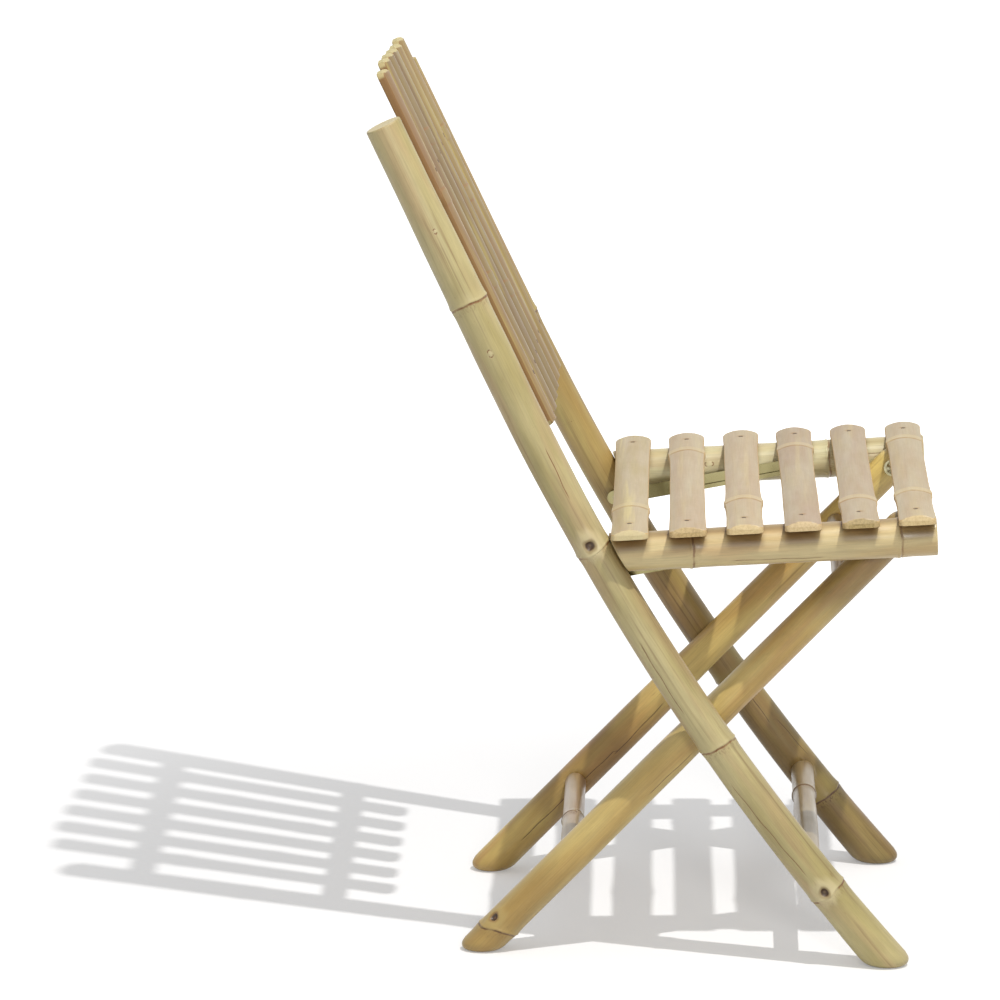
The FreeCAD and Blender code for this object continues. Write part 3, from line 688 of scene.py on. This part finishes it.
rail_brown = (120, 80, 40)
near_rail_skin = bamboo(
    "near_rail_bamboo", 21.0, (201, 183, 135), (187, 162, 110), (180, 141, 94), (150, 116, 68), rail_brown,
    (197, 177, 126), blushing=0.45, streaking=0.35, mottling=0.2, gloss=0.36, coat=0.16, lining=0.75,
    pale_node=0.2)
far_rail_skin = bamboo(
    "far_rail_bamboo", 27.0, (204, 197, 156), (182, 165, 118), (176, 146, 102), (139, 108, 64), rail_brown,
    sawn_wood, blushing=0.45, streaking=0.4, mottling=0.3, gloss=0.36, coat=0.2, lining=0.8, pale_node=0.2)
rail_marks = {
    "right": (61, near_rail_skin, [(37, 1, 0.0), (245, 0.6, 0.0)],
              [(252, 20, 4.2)], [], [(120, 200, 140, 5)]),
    "left": (67, far_rail_skin, [(101, 1, 0.0), (238, 0.6, 0.0)],
             [], [(227.2, 194, 3.0)], [(30, 90, 200, 4)])}
first_slat, slat_pitch = 20.5, 57.3    # mm
# Painted shadows of the seat slats' ends on both rails: a dark, warm band on the rail's upper face just under each
# slat.
painted_slat_shadows = [(first_slat + slat_pitch * number, 18.4, 236, 49 * degree, 0.68) for number in range(6)]
# Painted shade on the near rail's upward face, which darkens its top along the middle.
painted_top_shade = (180, 300, 278, 42 * degree, 0.42)
for side, (seed, finish, nodes, eyes, scars, splits) in rail_marks.items():
    start = rail_front + np.array([0, mount("post_%s_foot" % side)[1], 0])
    stop = rail_stop + np.array([0, start[1], 0])
    cane("seat_rail_" + side, seed, straight_spine(start, -rail_forward), even_girth(rail_radius),
         rail_length, nodes, finish, "seat", "rail_bamboo", eyes=eyes, scars=scars, splits=splits,
         high_cut=(stop, -stop_forward), high_edge=1.2 * mm, node_rise=0.7 * mm, node_step=0.15 * mm,
         offset=seed * 0.1, step=2 * mm, shades=[*painted_slat_shadows, painted_top_shade] if side == "right" else painted_slat_shadows)


# The cross pieces: thin canes whose ends are glued into holes bored in the
# posts and legs. Two brace the legs, one the posts' feet, two carry the back.
def crossing_cane(piece, seed, radius, nodes, finish, body, slot, **form):
    """A straight cane across the chair, from the right, along the middle of its frame piece's box."""
    low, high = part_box(piece)
    start = ((low[0] + high[0]) / 2, low[1], (low[2] + high[2]) / 2)
    return cane(piece, seed, straight_spine(start, (0, 1, 0)), even_girth(radius), high[1] - low[1], nodes,
                finish, body, slot, side=(1, 0, 0), columns=64, low_edge=0.5 * mm, high_edge=0.5 * mm,
                offset=seed * 0.1, **form)


foot_bar_skin = bamboo(
    "foot_stretcher_bamboo", 33.0, (148, 132, 100), (132, 111, 76), (127, 104, 77), (101, 75, 45),
    (89, 60, 32), sawn_wood, blushing=0.7, mottling=0.5, gloss=0.34, coat=0.3, lining=0.9,
    pale_node=0.1, tone_scale=60)
rear_bar_skin = bamboo(
    "rear_stretcher_bamboo", 39.0, (165, 148, 117), (147, 122, 86), (149, 116, 92), (111, 79, 46),
    (71, 44, 21), sawn_wood, blushing=0.6, streaking=0.45, mottling=0.6, gloss=0.34, coat=0.3, lining=0.9,
    pale_node=0.3, tone_scale=60)
back_bar_skin = bamboo(
    "back_rail_bamboo", 45.0, (204, 182, 132), (176, 146, 94), (176, 134, 88), (134, 98, 54), bark_brown,
    sawn_wood, mottling=0.4)
crossing_cane("foot_stretcher", 71, 12.2 * mm, [(262, 0.8, 0)], foot_bar_skin, "posts",
              "leg_bamboo", splits=[(120, 258, 10, 3)], node_rise=1.2 * mm, node_step=0.8 * mm)
crossing_cane("rear_stretcher", 73, 11.3 * mm, [(125, 1.2, 60)], rear_bar_skin, "legs",
              "leg_bamboo", eyes=[(129, 300, 3.0)], node_rise=1.3 * mm)
even_bars = [("upper_stretcher", 79, 10, 190, rear_bar_skin, "legs", "leg_bamboo"),     # radius, node, mm
             ("back_rail_upper", 83, 11, 150, back_bar_skin, "posts", "rail_bamboo"),
             ("back_rail_lower", 89, 11, 240, back_bar_skin, "posts", "rail_bamboo")]
for piece, seed, radius, node, finish, body, slot in even_bars:
    crossing_cane(piece, seed, radius * mm, [(node, 0.8, 0)], finish, body, slot,
                  node_rise=0.2 * mm, node_step=0.1 * mm)


# The six seat slats: thick bamboo split along its length, laid bark side up
# across the rails and nailed. The bark is sanded off, so they are pale peach.
seat_slat_width = 37.5 * mm
seat_slat_thickness = 10.3 * mm
seat_slat_edge = 5.2 * mm      # thickness at its sides
seat_slat_nodes = (0.26, 0.82, 0.28, 0.81, 0.225, 0.27)   # share of the length, from the right
slat_let_in = 0.7 * mm
slat_corner = 6 * mm
slat_waist, slat_swell, slat_bow = 0.9 * mm, 1.0 * mm, 0.5 * mm    # in between nodes, at a node, and sideways
wide_by_node, wide_by_end, swell_by_node = 30 * mm, 45 * mm, 8 * mm    # how far from it each is felt
arris = 0.45 * mm              # rounding of the long edges
band = 8.7 * mm                # half the length of the raised band at a node, and how it stands up
band_high, band_line_deep, band_slope = 0.62 * mm, 0.34 * mm, 2.5 * mm
crown_clearance = 0.12 * mm    # by which the arch stays within its frame piece
nail_dent, nail_dent_reach = 0.75 * mm, 2.9 * mm


def split_slat(piece, seed, start, course, up, length, width, thickness, edge_height, nodes, nails, finish,
               body, bevel=2.4 * mm, skew=0.0, offset=0.0):
    """A split slat: a flat back, upright edges and an arched face, carried along a course.

    Face height = edge + (thickness - edge) * (1 - share^2), with share from -1 to 1 across. The width swells
    in a bell at each node and draws in between, the corners are quarter circles in plan, and the ends are
    bevelled by a slanting plane. The grid stays inside the slat's plain box but for the swellings.
    """
    draw = np.random.default_rng(seed)
    start, course, up = (np.array(v, float) for v in (start, course, up))
    side = np.cross(up, course)
    rows = stations(length, nodes, 3.4 * mm, 0.7 * mm, 7 * mm)
    near_nails = [nail + np.linspace(-5, 5, 15) * mm for nail in nails]
    ends = [end + np.sign(length / 2 - end) * np.linspace(0, 1, 11) ** 1.8 * slat_corner * 1.1
            for end in (0, length)]
    rows = np.unique(np.round(np.concatenate([rows, *near_nails, *ends]), 5))
    crown, flank, back = np.linspace(1, -1, 41), np.array([0.86, 0.55, 0.22, 0.04]), np.linspace(-1, 1, 13)
    share = np.concatenate([crown, -np.ones(4), back, np.ones(4)])
    level = np.concatenate([np.ones(41), flank, np.zeros(13), flank[::-1]])
    on_crown = np.concatenate([np.ones(41), np.zeros(21)])
    along, share = np.meshgrid(rows, share, indexing="ij")

    near = sum(bell(along - node, wide_by_node) for node in nodes)
    near = near + bell(along, wide_by_end) + bell(length - along, wide_by_end)
    swollen = sum(bell(along - node, swell_by_node) for node in nodes)
    half = width / 2 - slat_waist * (1 - np.clip(near, 0, 1)) + slat_swell * swollen
    half = half + 0.25 * mm * slow_waves(draw, along, np.sign(share) * 1.3)
    edge = np.minimum(along, length - along)
    aside = share * (half - drawn_in(edge, slat_corner))
    softened = np.where(np.isin(level, (1.0, 0.0)), arris, 0.0)[None, :] * (np.abs(share) == 1)
    aside = aside - np.sign(share) * softened
    face = edge_height + (thickness - edge_height) * (1 - np.clip(aside / half, -1, 1) ** 2)
    face = face + 0.10 * mm * slow_waves(draw, along, share * 2) - crown_clearance
    to_node = nail_apart = np.ones_like(along)
    for node in nodes:
        line = node + 1.4 * mm * (1 - share ** 2) * draw.uniform(0.4, 1.2)
        line = line + 0.4 * mm * np.sin(share * 4 + seed)
        apart = along - line
        face = face + band_high * eased(-np.abs(apart), -band - band_slope, -band + band_slope)
        face = face - band_line_deep * bell(np.abs(apart) - band, 1.3 * mm) - 0.2 * mm * bell(apart, 5 * mm)
        to_node = np.where(np.abs(apart) < np.abs(to_node), apart, to_node)
    for nail in nails:
        apart = np.hypot(along - nail, aside)
        face = face - nail_dent * np.exp(-(apart / nail_dent_reach) ** 4)
        nail_apart = np.minimum(nail_apart, apart)
    worn = bevel * (1 + 0.15 * slow_waves(draw, 0 * along, share * 2.2))
    bevelled = thickness * 0.42 + edge / worn * thickness * 0.58
    sawn = on_crown[None, :] * (1 - eased(bevelled - face, -0.4 * mm, 0.4 * mm))
    end_face = 1 - eased(edge, 0.6 * slat_corner, 1.3 * slat_corner)
    sawn = np.maximum(sawn, 0.9 * (1 - on_crown[None, :]) * end_face)
    face = np.minimum(face, bevelled)
    height = np.where(on_crown[None, :] > 0, face, level[None, :] * np.minimum(edge_height, bevelled))
    along_cut = along + 0.03 * aside * draw.uniform(-1, 1) * (1 - eased(edge, 0, 30 * mm))
    along_cut = np.clip(along_cut, frame_clearance, length - frame_clearance)
    aside = aside + slat_bow * np.sin(np.pi * along / length) * draw.uniform(-1, 1)
    aside = aside - skew * (0.5 - along / length)
    points = start + course * along_cut[..., None] + side * aside[..., None] + up * height[..., None]
    flat = np.stack([aside, height, along + offset], -1)
    flanks = np.broadcast_to(1 - on_crown[None, :] * (1 - eased(np.abs(share), 0.965, 1.0)), along.shape)
    facts = {"cane": flat, "to_node": to_node, "nail": nail_apart, "cut": sawn, "flank": flanks}
    grid = capped(points, facts, np.array([0.96, 0.8, 0.55, 0.25]), {
        "cane": lambda rim, share: rim.mean(0) + (rim - rim.mean(0)) * share,
        "cut": lambda rim, share: 2.0 + 0 * share * rim})
    return dress(piece, piece + "_split", grid, facts, finish, body)


def split_bamboo(name, seed, pale, deep, blush, green, line, flank, end, end_dark, blushing, greening,
                 streaking=0.15, gloss=0.46, coat=0.06, cross=0.9, nail_stain=0.35, end_grain=0.3,
                 band_tone=None):
    """Skin of a split slat: a sanded face with soft lengthwise tones and fine marks across it.

    Patches of a pale, a deep, a blushing and a greenish tone run along the face, with thin fibres over them
    and faint lines across. A node is a paler band with a thin darker line. The split flanks are browner, the
    sawn ends show dark fibre dots, and a nail leaves a brown stain.
    """
    pale, deep, blush, green, line, flank, end, end_dark, band_tone = (
        paint(*tone) for tone in (pale, deep, blush, green, line, flank, end, end_dark, band_tone or pale))
    fibre = (0.916, 1.07)          # the darkest and the lightest, of the tone itself
    made, tree = blank_material(name)
    where = mark(tree, "cane", "Vector")
    to_node, nail, cut, sides = (mark(tree, fact) for fact in ("to_node", "nail", "cut", "flank"))
    colour = blend(spread(grain(where, 55, 5, seed, 3), 0.36, 0.66), pale, deep)
    flush = times(spread(grain(where, 85, 7, seed + 3), 0.42, 0.68), blushing)
    colour = blend(flush, colour, blush)
    flush = times(spread(grain(where, 110, 5, seed + 5), 0.50, 0.72), greening)
    colour = blend(flush, colour, green)
    streaks = times(spread(grain(where, 330, 5, seed + 7, 4, 0.6), 0.54, 0.74), streaking)
    colour = blend(streaks, colour, line)
    threads = ranged(grain(where, 1500, 26, seed + 13, 2, 0.6), 0.25, 0.75, *fibre)
    across = grain(where, 60, 1300, seed + 15, 2, 0.6)
    across = ranged(across, 0.25, 0.75, 1 - 0.07 * cross, 1 + 0.05 * cross)
    colour = tinted(colour, times(threads, across))
    specks = spread(grain(where, 520, 120, seed + 17), 0.70, 0.80)
    colour = blend(times(specks, 0.28), colour, line)

    waver = ranged(grain(where, 160, 160, seed + 19), 0.0, 1.0, -0.9 * mm, 0.9 * mm)
    apart = maths("ABSOLUTE", maths("ADD", to_node, waver))
    colour = blend(times(spread(apart, band, band - band_slope), 0.4), colour, band_tone)
    ring = spread(maths("ABSOLUTE", maths("SUBTRACT", apart, band)), 2.2 * mm, 0.5 * mm)
    patchy = ranged(grain(where, 90, 90, seed + 21), 0.35, 0.6, 0.2, 0.62)
    colour = blend(times(ring, patchy), colour, line)

    colour = blend(times(sides, 0.85), colour, flank)
    colour = blend(times(spread(nail, 6.5 * mm, 2.2 * mm), nail_stain), colour, line)
    pores = put(tree, "TexVoronoi", {"Vector": where, "Scale": 1100.0})["Distance"]
    ragged = spread(grain(where, 420, 420, seed + 23, 3, 0.7), 0.40, 0.66)
    dots = maths("MAXIMUM", spread(pores, 0.36, 0.14), ragged)
    colour = blend(spread(cut, 0.2, 1.3), colour, blend(times(dots, end_grain), end, end_dark))

    height = maths("ADD", times(threads, 0.30), times(across, 0.25))
    height = maths("SUBTRACT", height, times(streaks, 0.4))
    dull = ranged(grain(where, 90, 20, seed + 37, 3), 0.3, 0.7, gloss - 0.05, gloss + 0.10)
    dull = maths("MAXIMUM", dull, times(maths("MAXIMUM", sides, cut), 0.66))
    return surfaced(made, colour, dull, height, 0.5, 0.35 * mm,
                    {"Coat Weight": coat, "Coat Roughness": 0.3, "IOR": 1.5})


seat_tones = [    # pale, deep, blush, end, darker end, its share, and how far the slat lies askew, mm
    ((183, 166, 134), (177, 157, 121), (172, 155, 105), (205, 190, 146), (160, 140, 98), 0.2, 0.1),
    ((184, 168, 137), (179, 157, 125), (175, 152, 123), (196, 172, 122), (128, 98, 58), 0.5, 1.5),
    ((184, 168, 136), (179, 157, 125), (177, 152, 123), (212, 190, 142), (150, 118, 72), 0.3, 1.3),
    ((175, 159, 130), (168, 146, 117), (166, 139, 114), (212, 190, 146), (156, 124, 76), 0.35, 3.4),
    ((177, 161, 132), (170, 150, 119), (168, 143, 117), (180, 158, 108), (112, 92, 52), 0.55, 3.6),
    ((181, 166, 136), (175, 155, 121), (172, 148, 116), (208, 186, 138), (150, 118, 72), 0.35, 1.5)]
rail_y = abs(mount("post_right_foot")[1])
for number, (pale, deep, blush, end, end_dark, end_grain, skew) in enumerate(seat_tones, 1):
    piece = "seat_slat_%d" % number
    low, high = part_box(piece)
    length = high[1] - low[1]
    middle_x = (low[0] + high[0]) / 2 + rail_forward[2] * (rail_radius + seat_slat_thickness / 2)
    along = (rail_front[0] - middle_x) / rail_forward[0]
    start = rail_front - rail_forward * along + rail_up * (rail_radius - slat_let_in)
    start = start + np.array([0, low[1], 0])
    finish = split_bamboo(piece + "_face", 50.0 + 6 * number, pale, deep, blush, green=(206, 190, 134),
                          line=(150, 112, 66), flank=(196, 166, 116), end=end, end_dark=end_dark,
                          end_grain=end_grain, blushing=0.5, greening=0.7 if number == 1 else 0.25,
                          band_tone=(204, 184, 136))
    nodes = [seat_slat_nodes[number - 1], *([0.83] if number == 6 else [])]
    split_slat(piece, 100 + number, start, (0, 1, 0), rail_up, length, seat_slat_width, seat_slat_thickness,
               seat_slat_edge, [length * node for node in nodes], [length / 2 - rail_y, length / 2 + rail_y],
               finish, "seat", skew=skew * mm, offset=number * 0.7)


# The six back slats: narrower splits, nailed upright to the front of the two
# back rails, bark side forwards, their brown sides darkened as painted shade.
back_slat_width = 31 * mm
back_slat_thickness = 12 * mm
back_slat_edge = 7.4 * mm      # thickness at its sides
back_slat_top_drops = (3.0, 0.0, 3.0, 7.0, 10.5, 11.5)   # mm of each top end, below the tallest slat's
back_slat_nodes = (0.36, 0.62, 0.24, 0.7, 0.45, 0.3)     # share of the length, from the top
back_slat_above_post = 45 * mm
back_slat_length = 400 * mm
tip_wear = 0.9 * mm
back_rail_radius = 11 * mm
back_nails = (117 * mm, 345 * mm)
middle_spine = post_spine(np.array([right_foot[0], 0, 0]))
top_end, back_up = (value[0] for value in middle_spine(np.array([post_length])))
back_forward = np.array([back_up[2], 0, -back_up[0]])
back_start = top_end + back_up * back_slat_above_post + back_forward * (back_rail_radius - slat_let_in)
back_tones = [    # pale, deep, blush
    ((147, 120, 73), (133, 105, 62), (136, 105, 74)),
    ((141, 122, 76), (130, 105, 65), (129, 103, 78)),
    ((133, 113, 71), (122, 99, 62), (123, 100, 78)),
    ((136, 116, 73), (123, 100, 63), (125, 102, 79)),
    ((147, 124, 76), (133, 108, 62), (136, 108, 78)),
    ((153, 131, 78), (140, 115, 62), (145, 113, 79))]
for number, (pale, deep, blush) in enumerate(back_tones, 1):
    piece = "back_slat_%d" % number
    low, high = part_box(piece)
    middle_y = (low[1] + high[1]) / 2
    # The flank tone is the split sides' own brown, darkened further as painted shade in the gaps between the
    # slats.
    finish = split_bamboo(piece + "_face", 90.0 + 7 * number, pale, deep, blush, green=(188, 172, 100),
                          line=(140, 96, 48), flank=(130, 94, 50),
                          end=(202, 190, 138), end_dark=(160, 140, 90), blushing=0.65, greening=0.45,
                          streaking=0.3, cross=0.15, nail_stain=0.6, gloss=0.42, coat=0.12)
    drop = back_slat_top_drops[number - 1] * mm + tip_wear
    start = back_start - back_up * drop + np.array([0, middle_y, 0])
    split_slat(piece, 200 + number, start, -back_up, back_forward, back_slat_length - drop, back_slat_width,
               back_slat_thickness, back_slat_edge, [back_slat_length * back_slat_nodes[number - 1] - drop],
               [nail - drop for nail in back_nails], finish, "posts", bevel=3.2 * mm,
               offset=8 + number * 0.7)


# The nails: thin wire nails with flat heads, sunk a little under the slats'
# faces. The steel has dulled and browned in the damp wood.
def metal(name, seed, bright, dark, gloss, wear=0.5, metallic=1.0, scale=600.0):
    """Plated steel: two tones mixed in clouds, with a finer grain in the gloss."""
    made, tree = blank_material(name)
    where = put(tree, "TexCoord")["Object"]
    moved = put(tree, "Mapping", {"Vector": where, "Location": (seed, seed, seed)})[0]
    clouds = put(tree, "TexNoise", {"Vector": moved, "Scale": scale, "Detail": 4.0, "Roughness": 0.6})[0]
    plated = spread(clouds, 0.5 - 0.2 * wear, 0.5 + 0.2 * wear)
    colour = blend(plated, paint(*bright), paint(*dark))
    fine = put(tree, "TexNoise", {"Vector": moved, "Scale": scale * 4, "Detail": 2.0})[0]
    dull = ranged(fine, 0.3, 0.7, gloss - 0.03, gloss + 0.05)
    return surfaced(made, colour, dull, fine, 0.05, 0.05 * mm, {"Metallic": metallic})


def refinish(pieces, finish):
    """Gives frame pieces a finish of their own in every material slot."""
    for piece in pieces:
        for slot in frame["nodes"][piece].material_slots:
            slot.material = finish


nail_steel = metal("nail_steel", 3.0, (120, 96, 66), (62, 44, 28), 0.5, metallic=0.7)
refinish(("seat_slat_nails", "back_slat_nails"), nail_steel)


# The pivots: zinc-plated pins, spacer rings and hexagon-socket screws. The
# links' screws and rivets are of the same bright steel.
pivot_steel = metal("pivot_steel", 7.0, (176, 170, 140), (132, 124, 92), 0.22, wear=1.6, scale=60.0)
refinish(("crossing_pins", "crossing_spacers", "seat_pivot_screws", "seat_pivot_washers", "link_screws",
          "link_rivets", "link_post_screws"), pivot_steel)


# The two folding links: steel strip with the lower edge folded double,
# zinc-plated and passivated to an olive yellow.
link_plate = metal("link_plate", 11.0, (150, 142, 104), (120, 112, 74), 0.16, wear=1.2, scale=12.0)
refinish(("link_right", "link_left"), link_plate)
